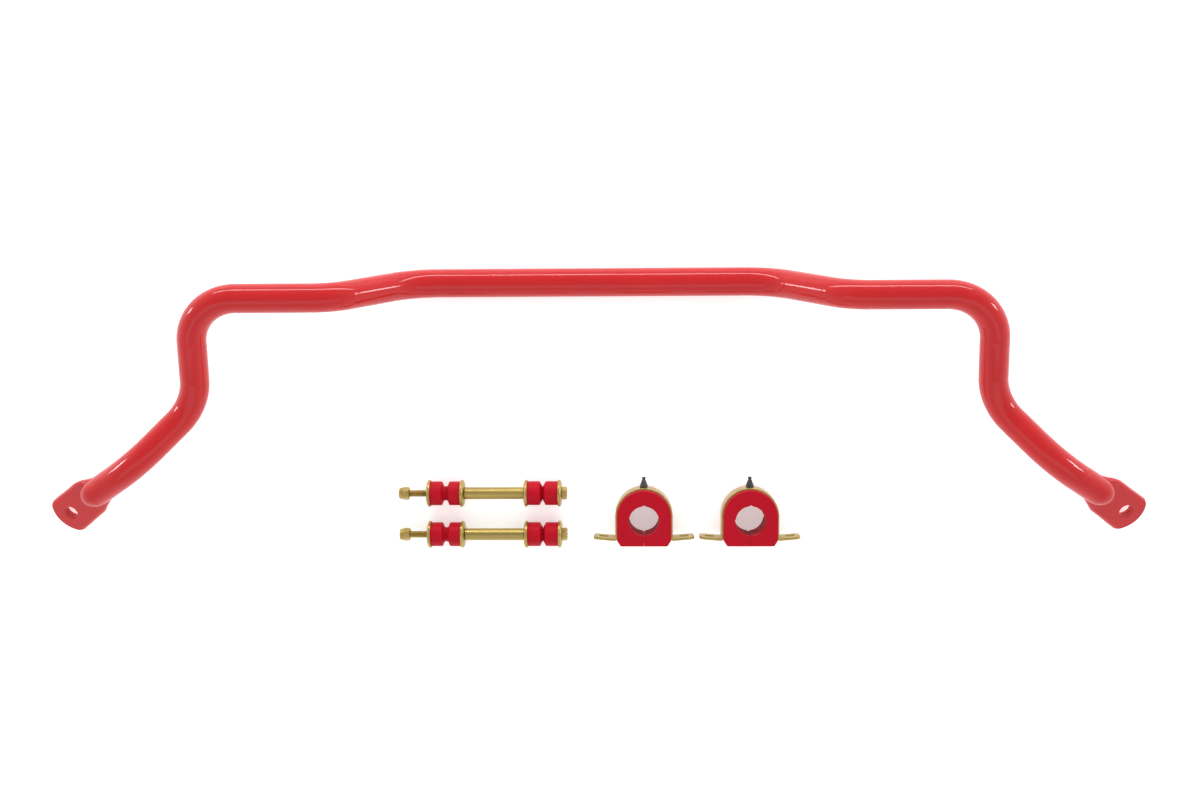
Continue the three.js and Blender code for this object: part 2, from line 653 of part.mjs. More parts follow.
// The soft cap over the fitting: a stepped cone with a pull tip, open underneath.
function fittingCap() {
  const roomForHex = FITTING_HEX / Math.sqrt(3) + GAP;
  const roomForHead = FITTING_HEAD + GAP;
  const profile = [
    [roomForHex, 0],
    [CAP_BASE_RADIUS, 0],
    [CAP_BASE_RADIUS - CAP_TAPER, CAP_SKIRT_HEIGHT],
    [roomForHead + CAP_WALL, CAP_SHOULDER_HEIGHT],
    [CAP_TIP_RADIUS, CAP_TIP_FROM],
    [CAP_TIP_RADIUS, CAP_HEIGHT - CAP_TAPER],
    [CAP_TIP_RADIUS - CAP_TAPER, CAP_HEIGHT],
    [0, CAP_HEIGHT],
    [0, FITTING_HEIGHT + CAP_WALL],
    [FITTING_MOUTH + GAP, FITTING_HEIGHT + CAP_WALL],
    [roomForHead, FITTING_HEIGHT - CAP_WALL],
    [roomForHead, FITTING_HEX_HEIGHT + 2 * CAP_WALL],
    [roomForHex, FITTING_HEX_HEIGHT + CAP_WALL],
    [roomForHex, 0],
  ];
  return turned(profile, 16);
}

function addBracketUnit(group, side) {
  const unit = new THREE.Group();
  unit.position.set(BRACKET_CENTRES_X[side], BRACKET_BORE_Y, 0);
  const place = (name, geometry, material, y = 0, z = 0) => {
    const mesh = new THREE.Mesh(geometry, material());
    mesh.name = `${side}_${name}`;
    mesh.position.set(0, y, z);
    unit.add(mesh);
  };
  const middle = BUSHING_LENGTH / 2;
  place("frame_bushing", toGeometry(frameBushing()), polyurethane);
  place("bushing_bracket", bracketStrap(), yellowZinc);
  place("grease_fitting", greaseFitting(), yellowZinc, archTop(), middle);
  place("fitting_cap", fittingCap(), blackRubber, archTop() + GAP, middle);
  group.add(unit);
}

// ---------- the kit ----------
const kit = new THREE.Group();
const bar = new THREE.Mesh(swayBar(), powderCoat());
bar.name = "sway_bar";
kit.add(bar);
addLink(kit, "rear", LINK_ROWS.rear);
addLink(kit, "front", LINK_ROWS.front);
addBracketUnit(kit, "left");
addBracketUnit(kit, "right");

// the origin is the centre of the underside of the whole kit's box
const box = new THREE.Box3().setFromObject(kit, true);
const middle = box.getCenter(new THREE.Vector3());
kit.position.set(-middle.x, -middle.y, -box.min.z);

const group = new THREE.Group();
group.add(kit);
export default group;
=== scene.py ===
import math

import bmesh
import bpy
import numpy as np
from mathutils import Matrix, Vector


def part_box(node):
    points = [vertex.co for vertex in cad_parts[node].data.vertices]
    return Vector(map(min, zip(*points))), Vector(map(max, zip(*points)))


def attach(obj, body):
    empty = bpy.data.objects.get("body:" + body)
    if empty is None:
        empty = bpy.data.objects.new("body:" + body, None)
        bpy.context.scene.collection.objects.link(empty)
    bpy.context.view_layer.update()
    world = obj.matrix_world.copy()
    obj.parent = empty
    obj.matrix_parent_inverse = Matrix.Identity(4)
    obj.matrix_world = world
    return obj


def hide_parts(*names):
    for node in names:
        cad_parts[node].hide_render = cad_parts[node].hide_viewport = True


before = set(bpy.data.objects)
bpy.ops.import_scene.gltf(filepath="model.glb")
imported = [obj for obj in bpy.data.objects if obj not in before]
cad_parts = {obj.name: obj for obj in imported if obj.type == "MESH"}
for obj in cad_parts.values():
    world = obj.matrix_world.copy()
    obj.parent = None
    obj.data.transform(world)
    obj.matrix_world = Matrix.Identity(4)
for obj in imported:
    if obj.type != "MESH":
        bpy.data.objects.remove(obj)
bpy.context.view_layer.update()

MM = 0.001

# ---------- driving dimensions ----------
# the bar: half of its centreline, from the middle of the centre section to the eye,
# as the corner that each bend rounds off, and the bend's radius
TUBE_RADIUS = 15.7
BEND_POINTS = [
    ((0.0, 0.0, 0.0), 0.0),
    ((196.9, 0.0, 0.0), 70.0),
    ((271.9, -14.1, 73.925), 55.0),
    ((424.2, -14.1, 73.925), 54.0),
    ((433.5, -130.1, 31.725), 65.0),
    ((500.1, -196.2, 42.725), 136.0),
    ((560.9, -235.0, 21.025), 73.0),
]
EYE_DIRECTION = np.array([0.734, -0.521, -0.435])
EYE_NORMAL_HINT = np.array([0.199, -0.448, 0.872])
# the eye: every _AT and _FROM is a distance along it from the middle of the last bend
EYE_THICKNESS = 9.4
EYE_HOLE_RADIUS = 7.95
EYE_HOLE_AT = 40.0
EYE_TIP_AT = 61.7
EYE_TIP_RADIUS = 28.1
EYE_HALF_WIDTH = 22.2
EYE_TIP_HALF_WIDTH = 22.9
EYE_INNER_EXTRA = 1.5  # the eye reaches this much further on its inner side
NECK_AT = -25.0
SPREAD_AT = 8.0
DOME_FROM = -12.0
DOME_AT = 7.5
BELLY_FROM = -12.0
BELLY_AT = 14.0
TIP_BOW_FROM = 19.6
DOME_FILLET = 2.4
COAT_EDGE = 0.7  # the rounding that the coat leaves on the eye's cut edges
SLOT_HALF = 0.28  # half of the seam left between the eye's two pressed walls
SLOT_PAST_HOLE = 14.0  # how far the seam runs in past the bolt hole's middle
STRAIGHT_HALF = 160.0  # the CAD bar is straight within this of its middle
BEND_STEP = 2.5  # spacing of the bar's rings in a bend, in a straight and in the eye
STRAIGHT_STEP = 14.0
EYE_STEP = 0.5
BEND_MARK_DEPTH = 0.10  # the faint waist that the bending die leaves at each bend's ends
BEND_MARK_LENGTH = 2.0
BEND_MARK_REACH = 6
POINTS_A_SIDE = 96

# the end links
PITCH = 25.4 / 18
THREAD_DEPTH = 0.75
THREAD_LENGTH = 46.0
THREAD_LEAD = 0.9  # the plain chamfered tip before the thread starts
SHANK_RADIUS = 3.95
HEAD_HEIGHT = 5.8
HEX_ACROSS_FLATS = 12.9
HEX_CORNER_ROUNDING = 0.12
HEX_CHAMFER = 0.3
HEX_CHAMFER_LEAN = math.tan(math.radians(60))
NIPPLE = 1.9  # the short neck on the bushes of the outer pair
BUSH_SEAM_HEIGHT = 0.07
BUSH_SEAM_WIDTH = 0.22

# the frame bushings and brackets
BUSHING_HALF_WIDTH = 30.1
BUSHING_BASE = 28.1
ARCH_RISE = 3.8
BASE_CHAMFER_X = 4.2
BASE_CHAMFER_Y = 6.7
GROOVE_DEPTH = 1.5
GROOVE_EDGE = 6.8
BUSHING_EDGE = 0.7
GROOVE_LIP = 0.35
SLIT_WIDTH = 0.14
BORE_RADIUS = 16.6
CHANNEL_DEPTH = 1.1  # the grease channels along the bore, and their width as an angle
CHANNEL_ANGLE = 0.085
RIB_DEPTH = 0.22
GREASE_WAY_RADIUS = 1.8
OUTLINE_POINTS = 120
STRAP_THICKNESS = 3.0
STRAP_EDGE = 0.55
FLANGE_REACH = 56.15
FLANGE_ABOVE_BASE = 4.5
FLANGE_RISE = math.radians(5)
FLANGE_HOLE_RADIUS = 5.2
FLANGE_HOLE_AT = 45.0
FLANGE_CORNER = 6.0
HOLE_RIM = 0.4
FITTING_STEM = 2.9
GAP = 0.3
WHITE = (1.0, 1.0, 1.0, 1.0)


# ---------- mesh helpers ----------
def smooth(low, high, value):
    """0 up to low, 1 from high on, and an S-curve between."""
    t = np.clip((value - low) / (high - low), 0.0, 1.0)
    return t * t * (3 - 2 * t)


def unit(vector):
    return vector / np.linalg.norm(vector)


def rounded(corners, steps=5):
    """A closed outline of 2-D points from corners (a, b, fillet radius), in order."""
    outline = []
    for k, (a, b, fillet) in enumerate(corners):
        here = np.array([a, b])
        if fillet == 0:
            outline.append(here)
            continue
        back = np.array(corners[k - 1][:2]) - here
        ahead = np.array(corners[(k + 1) % len(corners)][:2]) - here
        room = 0.49 * min(np.linalg.norm(back), np.linalg.norm(ahead))
        back, ahead = unit(back), unit(ahead)
        half = math.acos(np.clip(back @ ahead, -1, 1)) / 2
        reach = min(fillet / math.tan(half), room)
        radius = reach * math.tan(half)
        centre = here + unit(back + ahead) * radius / math.sin(half)
        first, last = here + back * reach - centre, here + ahead * reach - centre
        sweep = math.pi - 2 * half
        for t in np.linspace(0, 1, steps + 1):
            mix = math.sin((1 - t) * sweep) * first + math.sin(t * sweep) * last
            outline.append(centre + mix / math.sin(sweep))
    return np.array(outline)


def grid_faces(rows, columns, wrap_rows, wrap_columns):
    """Quads between rows of points, closed round each way that wraps."""
    faces = []
    for j in range(rows if wrap_rows else rows - 1):
        for i in range(columns if wrap_columns else columns - 1):
            a, b = j * columns + i, j * columns + (i + 1) % columns
            step = ((j + 1) % rows - j) * columns
            faces.append((a, b, b + step, a + step))
    return faces


def mesh_object(name, points, faces, sharp_degrees=32):
    """A closed mesh object from points in millimetres, smooth but for its sharp edges."""
    mesh = bpy.data.meshes.new(name)
    mesh.from_pydata((np.asarray(points, float) * MM).tolist(), [], faces)
    tidy(mesh, sharp_degrees)
    made = bpy.data.objects.new(name, mesh)
    bpy.context.scene.collection.objects.link(made)
    return made


def tidy(mesh, sharp_degrees=32):
    """Merges doubled points, turns the faces outwards and shades all but sharp edges smooth."""
    work = bmesh.new()
    work.from_mesh(mesh)
    bmesh.ops.remove_doubles(work, verts=work.verts, dist=2e-6)
    bmesh.ops.dissolve_degenerate(work, edges=work.edges, dist=1e-7)
    bmesh.ops.recalc_face_normals(work, faces=work.faces)
    work.to_mesh(mesh)
    work.free()
    mesh.polygons.foreach_set("use_smooth", [True] * len(mesh.polygons))
    mesh.set_sharp_from_angle(angle=math.radians(sharp_degrees))
    mesh.update()


def cut(target, *tools):
    """Takes the tools' shapes out of the target, and removes the tools."""
    for tool in tools:
        modifier = target.modifiers.new("cut", "BOOLEAN")
        modifier.operation = "DIFFERENCE"
        modifier.solver = "EXACT"
        modifier.object = tool
    bpy.context.view_layer.update()
    evaluated = target.evaluated_get(bpy.context.evaluated_depsgraph_get())
    result = bpy.data.meshes.new_from_object(evaluated)
    target.modifiers.clear()
    target.data = result
    for tool in tools:
        bpy.data.objects.remove(tool)
    tidy(result)


def lathe_points(profile, sides, shape=None):
    """Rings round +X from (x, radius) points. shape(angle, radius, x) may change the radius."""
    angles = np.linspace(0, 2 * math.pi, sides, endpoint=False)
    x = np.repeat(np.array([p[0] for p in profile])[:, None], sides, 1)
    radius = np.repeat(np.array([p[1] for p in profile])[:, None], sides, 1)
    if shape:
        radius = shape(np.broadcast_to(angles, radius.shape), radius, x)
    rings = np.stack([x, radius * np.cos(angles), radius * np.sin(angles)], -1)
    return rings.reshape(-1, 3)


def turned(name, profile, points, sides, sharp_degrees=32):
    """A closed object from the rings of lathe_points."""
    return mesh_object(name, points, grid_faces(len(profile), sides, True, True), sharp_degrees)


def lathe(name, profile, axis_at, sides, shape=None, sharp_degrees=32):
    """A turned piece about the line through axis_at (y, z), along +X, from a closed profile."""
    points = lathe_points(profile, sides, shape) + np.array([0, *axis_at])
    return turned(name, profile, points, sides, sharp_degrees)


def finish_piece(made, body, node, material):
    """Gives the piece its material and body, in place of its CAD node."""
    made.data.materials.clear()
    made.data.materials.append(material)
    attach(made, body)
    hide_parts(node)


def box_mm(node):
    """The low and high corners of a CAD node's box."""
    low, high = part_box(node)
    return np.array(low) / MM, np.array(high) / MM


# ---------- materials ----------
class Shader:
    """A Principled material whose colour, roughness and bump come from procedural nodes."""

    def __init__(self, name):
        self.material = bpy.data.materials.new(name)
        self.material.use_nodes = True
        self.tree = self.material.node_tree
        self.principled = self.tree.nodes["Principled BSDF"]
        self.coordinates = self.add("ShaderNodeTexCoord").outputs["Object"]
        self.heights = []

    def add(self, kind, **values):
        node = self.tree.nodes.new(kind)
        for key, value in values.items():
            if key in node.inputs:
                node.inputs[key].default_value = value
            else:
                setattr(node, key, value)
        return node

    def link(self, source, target):
        self.tree.links.new(source, target)

    def set(self, **values):
        """Uniform values of the Principled shader, with _ for the spaces in a name."""
        for key, value in values.items():
            self.principled.inputs[key.replace("_", " ")].default_value = value

    def stretched(self, scale):
        mapping = self.add("ShaderNodeMapping", Scale=scale)
        self.link(self.coordinates, mapping.inputs["Vector"])
        return mapping.outputs["Vector"]

    def noise(self, scale, detail=3.0, stretch=None, distortion=0.0):
        node = self.add("ShaderNodeTexNoise", Scale=scale, Detail=detail, Roughness=0.55)
        node.inputs["Distortion"].default_value = distortion
        self.link(self.stretched(stretch) if stretch else self.coordinates, node.inputs["Vector"])
        return node.outputs["Fac"]

    def spots(self, scale, size):
        """1 in small round spots scattered over the surface, 0 elsewhere."""
        node = self.add("ShaderNodeTexVoronoi", Scale=scale)
        self.link(self.coordinates, node.inputs["Vector"])
        ramp = self.add("ShaderNodeMapRange")
        ramp.inputs["From Min"].default_value = size
        ramp.inputs["From Max"].default_value = 0.0
        self.link(node.outputs["Distance"], ramp.inputs["Value"])
        return ramp.outputs["Result"]

    def ramp(self, factor, stops):
        node = self.add("ShaderNodeValToRGB")
        elements = node.color_ramp.elements
        while len(elements) < len(stops):
            elements.new(0.5)
        for element, (at, colour) in zip(elements, stops):
            element.position = at
            element.color = (*colour, 1.0)
        self.link(factor, node.inputs["Fac"])
        return node.outputs["Color"]

    def mix(self, factor, source, tint):
        """Blends a colour from other nodes towards one plain tint."""
        node = self.add("ShaderNodeMix", data_type="RGBA")
        self.link(source, node.inputs[6])
        node.inputs[7].default_value = (*tint, 1.0)
        self.link(factor, node.inputs[0])
        return node.outputs[2]

    def colour(self, source):
        self.link(source, self.principled.inputs["Base Color"])

    def roughness_between(self, low, high, source):
        """Spreads the middle of a noise over a range of roughness."""
        node = self.add("ShaderNodeMapRange")
        node.inputs["From Min"].default_value = 0.3
        node.inputs["From Max"].default_value = 0.7
        node.inputs["To Min"].default_value = low
        node.inputs["To Max"].default_value = high
        self.link(source, node.inputs["Value"])
        self.link(node.outputs["Result"], self.principled.inputs["Roughness"])

    def bump(self, source, height_mm):
        """Adds a layer of relief of that height, on top of the layers before it."""
        node = self.add("ShaderNodeBump", Strength=1.0, Distance=height_mm * MM)
        self.link(source, node.inputs["Height"])
        if self.heights:
            self.link(self.heights[-1], node.inputs["Normal"])
        self.heights.append(node.outputs["Normal"])
        self.link(self.heights[-1], self.principled.inputs["Normal"])


def powder_coat():
    """Glossy red powder coat with its slight orange peel and a few dust nibs."""
    shader = Shader("red_powder_coat")
    broad = shader.noise(22.0, detail=4.0)
    colour = shader.ramp(broad, [(0.3, (0.49, 0.004, 0.006)), (0.7, (0.56, 0.007, 0.009))])
    fine = shader.noise(900.0, detail=2.0)
    colour = shader.mix(fine, colour, (0.52, 0.005, 0.008))
    shader.colour(colour)
    shader.roughness_between(0.07, 0.12, shader.noise(60.0))
    shader.set(IOR=1.46)
    shader.bump(shader.noise(380.0, detail=2.5), 0.012)
    shader.bump(shader.spots(160.0, 0.06), 0.03)
    return shader.material


def polyurethane():
    """Satin crimson moulded polyurethane with a fine matt grain and faint flow marks."""
    shader = Shader("red_polyurethane")
    flow = shader.noise(35.0, detail=4.0, distortion=0.8)
    colour = shader.ramp(flow, [(0.3, (0.42, 0.001, 0.010)), (0.7, (0.50, 0.002, 0.016))])
    shader.colour(shader.mix(shader.noise(1400.0), colour, (0.45, 0.001, 0.013)))
    shader.roughness_between(0.42, 0.58, shader.noise(120.0))
    shader.set(IOR=1.5, Specular_IOR_Level=0.14)
    shader.bump(shader.noise(1500.0, detail=3.0), 0.02)
    shader.bump(shader.noise(90.0, detail=3.0), 0.05)
    return shader.material


def yellow_zinc(name, stretch=(1.0, 1.0, 1.0), relief=0.015):
    """Yellow zinc plating: gold with olive and pinkish patches. stretch draws it out along X."""
    shader = Shader(name)
    hue = shader.noise(60.0, detail=4.0, distortion=1.2, stretch=stretch)
    colour = shader.ramp(
        hue,
        [
            (0.32, (0.30, 0.24, 0.085)),
            (0.46, (0.44, 0.33, 0.10)),
            (0.56, (0.52, 0.37, 0.12)),
            (0.68, (0.58, 0.40, 0.22)),
        ],
    )
    grain = shader.noise(520.0, detail=3.0, stretch=stretch)
    shader.colour(shader.mix(grain, colour, (0.42, 0.31, 0.10)))
    shader.roughness_between(0.26, 0.42, shader.noise(140.0, stretch=stretch))
    shader.set(Metallic=1.0)
    shader.bump(grain, relief)
    shader.bump(shader.noise(1800.0, detail=2.0, stretch=stretch), relief / 2)
    return shader.material


def nylon():
    """Off-white nylon, slightly translucent."""
    shader = Shader("white_nylon")
    stops = [(0.3, (0.70, 0.67, 0.56)), (0.7, (0.82, 0.80, 0.70))]
    shader.colour(shader.ramp(shader.noise(200.0), stops))
    shader.roughness_between(0.35, 0.5, shader.noise(300.0))
    shader.set(Subsurface_Weight=0.1)
    shader.bump(shader.noise(900.0), 0.01)
    return shader.material


def black_rubber():
    """Matt black rubber with a fine grain."""
    shader = Shader("black_rubber")
    stops = [(0.3, (0.022, 0.023, 0.026)), (0.7, (0.042, 0.043, 0.047))]
    shader.colour(shader.ramp(shader.noise(180.0), stops))
    shader.roughness_between(0.5, 0.68, shader.noise(400.0))
    shader.bump(shader.noise(1600.0, detail=3.0), 0.03)
    return shader.material


RED_COAT = powder_coat()
RED_RUBBER = polyurethane()
ZINC = yellow_zinc("yellow_zinc")
DRAWN_ZINC = yellow_zinc("yellow_zinc_drawn", stretch=(0.04, 1.0, 1.0))
WHITE_NYLON = nylon()
BLACK_RUBBER = black_rubber()


# ---------- the bar ----------
def bar_middle():
    """The axis of the centre section, from the vertices of the CAD bar's straight middle."""
    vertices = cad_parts["sway_bar"].data.vertices
    ring = [v.co for v in vertices if abs(v.co.x) < STRAIGHT_HALF * MM]
    low = np.min(ring, axis=0) / MM
    high = np.max(ring, axis=0) / MM
    return (low + high) / 2 * np.array([0, 1, 1])


def bar_route():
    """Straight runs and bends as (start, length, is a bend, at) pieces, and where s is 0."""
    corners = [np.array(at) + bar_middle() for at, _ in BEND_POINTS]
    corners.append(corners[-1] + unit(EYE_DIRECTION) * (EYE_TIP_AT + 1))
    pieces, travelled, origin = [], 0.0, corners[0]
    for k in range(1, len(corners)):
        into = unit(corners[k] - origin)
        if k == len(corners) - 1:
            pieces.append((travelled, 1e9, False, lambda u, o=origin, i=into: (o + i * u, i)))
            break
        out, radius = unit(corners[k + 1] - corners[k]), BEND_POINTS[k][1]
        angle = math.acos(np.clip(into @ out, -1, 1))
        start = corners[k] - into * radius * math.tan(angle / 2)
        run = np.linalg.norm(start - origin)
        pieces.append((travelled, run, False, lambda u, o=origin, i=into: (o + i * u, i)))
        inward = unit(out - into * (into @ out))

        def arc(u, s=start, i=into, n=inward, r=radius):
            turn = u / r
            point = s + i * r * math.sin(turn) + n * r * (1 - math.cos(turn))
            return point, i * math.cos(turn) + n * math.sin(turn)

        pieces.append((travelled + run, radius * angle, True, arc))
        travelled += run + radius * angle
        origin = arc(radius * angle)[0]
    start, length = pieces[-2][:2]
    return pieces, start + length / 2


def along(pieces, distance):
    """The point and direction of the bar's axis at a distance from its middle."""
    for start, length, _, at in pieces:
        if distance <= start + length:
            return at(distance - start)


def soft_max(a, b, blend):
    """The larger of the two, with a fillet of about that size where they cross."""
    if blend <= 0:
        return np.maximum(a, b)
    near = np.maximum(blend - np.abs(a - b), 0) / blend
    return np.maximum(a, b) + near * near * blend / 4


def bar_section(s, inset, dent):
    """One section as (across, up, along) offsets, s past the last bend's middle. The tube is
    pressed flat there: its top ends in a dome on the eye, its belly fades into the eye's back."""
    round_radius = TUBE_RADIUS - dent
    half = EYE_THICKNESS / 2 - inset
    spread = smooth(NECK_AT, SPREAD_AT, s)
    flare = smooth(SPREAD_AT, EYE_TIP_AT, s)
    width = round_radius - inset + (EYE_HALF_WIDTH - TUBE_RADIUS) * spread
    width += (EYE_TIP_HALF_WIDTH - EYE_HALF_WIDTH) * flare
    sunk = EYE_THICKNESS / 2 * smooth(NECK_AT, DOME_AT, s)
    turns = np.cos(np.linspace(0, math.pi, POINTS_A_SIDE + 1))
    width = np.where(turns < 0, width + EYE_INNER_EXTRA * spread, width)
    x = width * turns
    over_edge = np.maximum(0, np.abs(x) - (width - half))
    slab = np.sqrt(np.maximum(0, half**2 - over_edge**2))
    blend = 2 * DOME_FILLET * smooth(DOME_FROM - 4, DOME_AT, s)

    def bulge(start, end):
        """The round tube's height across the section, shrinking to a dome from start to end."""
        size_squared = 1 - max(0.0, (s - start) / (end - start)) ** 2
        left = size_squared - (x / round_radius) ** 2
        return np.sign(left) * round_radius * np.sqrt(np.abs(left))

    top = soft_max(slab - sunk, bulge(DOME_FROM, DOME_AT), blend)
    belly = soft_max(slab + sunk, bulge(BELLY_FROM, BELLY_AT), blend)
    top[[0, -1]] = -sunk
    belly[[0, -1]] = sunk
    bow = smooth(TIP_BOW_FROM, EYE_TIP_AT, s)

    across = np.concatenate([x[:-1], x[:0:-1]])
    ups = np.concatenate([top[:-1], -belly[:0:-1]])
    from_middle = across + EYE_INNER_EXTRA / 2
    sag = EYE_TIP_RADIUS - np.sqrt(np.maximum(0, EYE_TIP_RADIUS**2 - from_middle**2))
    return np.stack([across, ups, -sag * bow], 1)


def half_bar_stations(pieces, eye_start):
    """(distance, inset, dent) for each ring from the middle to the eye's mouth."""
    neck = eye_start + NECK_AT
    bends = [(start, start + length) for start, length, bend, _ in pieces[:-2] if bend]
    marks = [edge for ends in bends for edge in ends]
    stations = [0.0]
    for start, length, bend, _ in pieces:
        end = min(start + length, neck)
        step = BEND_STEP if bend else STRAIGHT_STEP
        count = max(1, math.ceil((end - start) / step))
        stations += list(np.linspace(start, end, count + 1)[1:]) if end > start else []
    for mark in marks:
        stations += [mark + k for k in range(-BEND_MARK_REACH, BEND_MARK_REACH + 1)]
    stations = sorted({round(d, 3) for d in stations if 0 <= d < neck})
    rings = []
    for d in stations:
        nearness = sum(math.exp(-(((d - mark) / BEND_MARK_LENGTH) ** 2)) for mark in marks)
        rings.append((d, 0.0, BEND_MARK_DEPTH * nearness))
    eye_stations = np.arange(NECK_AT, EYE_TIP_AT - COAT_EDGE, EYE_STEP)
    rings += [(eye_start + s, 0.0, 0.0) for s in eye_stations]
    for turn in np.linspace(0, math.pi / 2, 6):
        s = EYE_TIP_AT - COAT_EDGE + COAT_EDGE * math.sin(turn)
        rings.append((eye_start + s, COAT_EDGE * (1 - math.cos(turn)), 0.0))
    slot = EYE_THICKNESS / 2 - SLOT_HALF
    slot_stations = np.arange(EYE_TIP_AT, EYE_HOLE_AT - SLOT_PAST_HOLE, -2.0)
    rings += [(eye_start + s, slot, 0.0) for s in slot_stations]
    return rings


def sway_bar():
    """Half of the bar, from the seam in the eye's tip to the middle, and its mirror image."""
    pieces, eye_start = bar_route()
    up = EYE_NORMAL_HINT
    rings = []
    for distance, inset, dent in reversed(half_bar_stations(pieces, eye_start)):
        point, way = along(pieces, distance)
        up = unit(up - way * (up @ way))
        side = np.cross(up, way)
        offsets = bar_section(distance - eye_start, inset, dent)
        rings.append(point + offsets @ np.array([side, up, way]))
    count = 2 * POINTS_A_SIDE
    faces = grid_faces(len(rings), count, False, True)
    # close the slot's inner end with strips, and the middle with one flat face
    for k in range(POINTS_A_SIDE):
        strip = (k, k + 1, (count - k - 1) % count, (count - k) % count)
        faces.append(tuple(dict.fromkeys(strip)))
    faces.append(tuple((len(rings) - 1) * count + k for k in range(count)))
    half = mesh_object("sway_bar_finished", np.concatenate(rings), faces)
    point, way = along(pieces, eye_start + EYE_HOLE_AT)
    cut(half, eye_hole_cutter(point, unit(EYE_NORMAL_HINT - way * (EYE_NORMAL_HINT @ way))))
    mirror_across_middle(half.data)
    return half


def eye_hole_cutter(point, normal):
    """A bolt hole with rounded rims on both faces of the eye."""
    rim = COAT_EDGE
    steps = [math.radians(a) for a in (0, 20, 40, 60, 75)]
    arc = [(rim * (1 - math.cos(a)), rim * (1 - math.sin(a))) for a in steps]
    top = [(-depth, EYE_HOLE_RADIUS + out) for out, depth in arc]
    bottom = [(-EYE_THICKNESS - x, radius) for x, radius in top[::-1]]
    far = 5.0
    profile = [(-EYE_THICKNESS - far, 0.0), (-EYE_THICKNESS - far, bottom[0][1]), *bottom]
    profile += [*top, (far, top[-1][1]), (far, 0.0)]
    tool = turned("eye_hole_cutter", profile, lathe_points(profile, 64), 64)
    turn = Vector((1, 0, 0)).rotation_difference(Vector(normal)).to_matrix().to_4x4()
    tool.matrix_world = Matrix.Translation(Vector(point * MM)) @ turn
    return tool


def mirror_across_middle(mesh):
    """Opens the half's flat end at x = 0 and joins it to its mirror image."""
    work = bmesh.new()
    work.from_mesh(mesh)
    flat = [f for f in work.faces if all(abs(v.co.x) < 1e-6 for v in f.verts)]
    bmesh.ops.delete(work, geom=flat, context="FACES_ONLY")
    everything = work.verts[:] + work.edges[:] + work.faces[:]
    bmesh.ops.mirror(work, geom=everything, merge_dist=1e-5, axis="X")
    work.to_mesh(mesh)
    work.free()
    tidy(mesh)


finish_piece(sway_bar(), "sway_bar", "sway_bar", RED_COAT)


# ---------- the end links ----------
class Span:
    """Where a piece lies along a link: its ends along X, its outer radius, and its axis."""

    def __init__(self, node):
        low, high = box_mm(node)
        self.start, self.end = low[0], high[0]
        self.length = self.end - self.start
        self.axis = ((low[1] + high[1]) / 2, (low[2] + high[2]) / 2)
        self.radius = (high[1] - low[1]) / 2

    def profile(self, corners, facing_back=False, steps=5):
        """Corners as (distance from the piece's seat, radius, fillet), seat first."""
        if facing_back:
            corners = [(self.end - x, r, fillet) for x, r, fillet in corners[::-1]]
        else:
            corners = [(self.start + x, r, fillet) for x, r, fillet in corners]
        return rounded(corners, steps)


def hex_radius(angle, across_flats):
    """Distance from a hexagon's middle to its edge, with corners at the sides (+-Y)."""
    turned = (angle + math.pi / 6) % (math.pi / 3) - math.pi / 6
    flat = across_flats / 2 / np.cos(math.pi / 6 - np.abs(turned))
    corner = across_flats / math.sqrt(3)
    return np.minimum(flat, corner - HEX_CORNER_ROUNDING)


def hex_shape(across_flats, start, end, chamfer_start, chamfer_end):
    """For lathe_points: keeps round parts round, and trims the rest to a chamfered hexagon."""
    flat = across_flats / 2
    edge = flat - HEX_CHAMFER

    def shape(angle, radius, x):
        limit = hex_radius(angle, across_flats)
        if chamfer_start:
            limit = np.minimum(limit, edge + (x - start) * HEX_CHAMFER_LEAN)
        if chamfer_end:
            limit = np.minimum(limit, edge + (end - x) * HEX_CHAMFER_LEAN)
        inside = (x >= start - 1e-6) & (x <= end + 1e-6) & (radius > flat * 0.93)
        return np.where(inside, limit, radius)

    return shape


def threaded(start, end, radius):
    """For lathe_points: a right-hand thread along X that fades out at both ends."""

    def shape(angle, base, x):
        turns = (x - angle / (2 * math.pi) * PITCH) / PITCH
        wave = 2 * np.abs(turns % 1.0 - 0.5)
        flank = np.clip((wave - 0.12) / 0.72, 0, 1)
        fade = smooth(start, start + PITCH, x) * (1 - smooth(end - 1.5 * PITCH, end, x))
        on_shank = base > radius - 0.01
        return np.where(on_shank, base - THREAD_DEPTH * (1 - flank) * fade, base)

    return shape


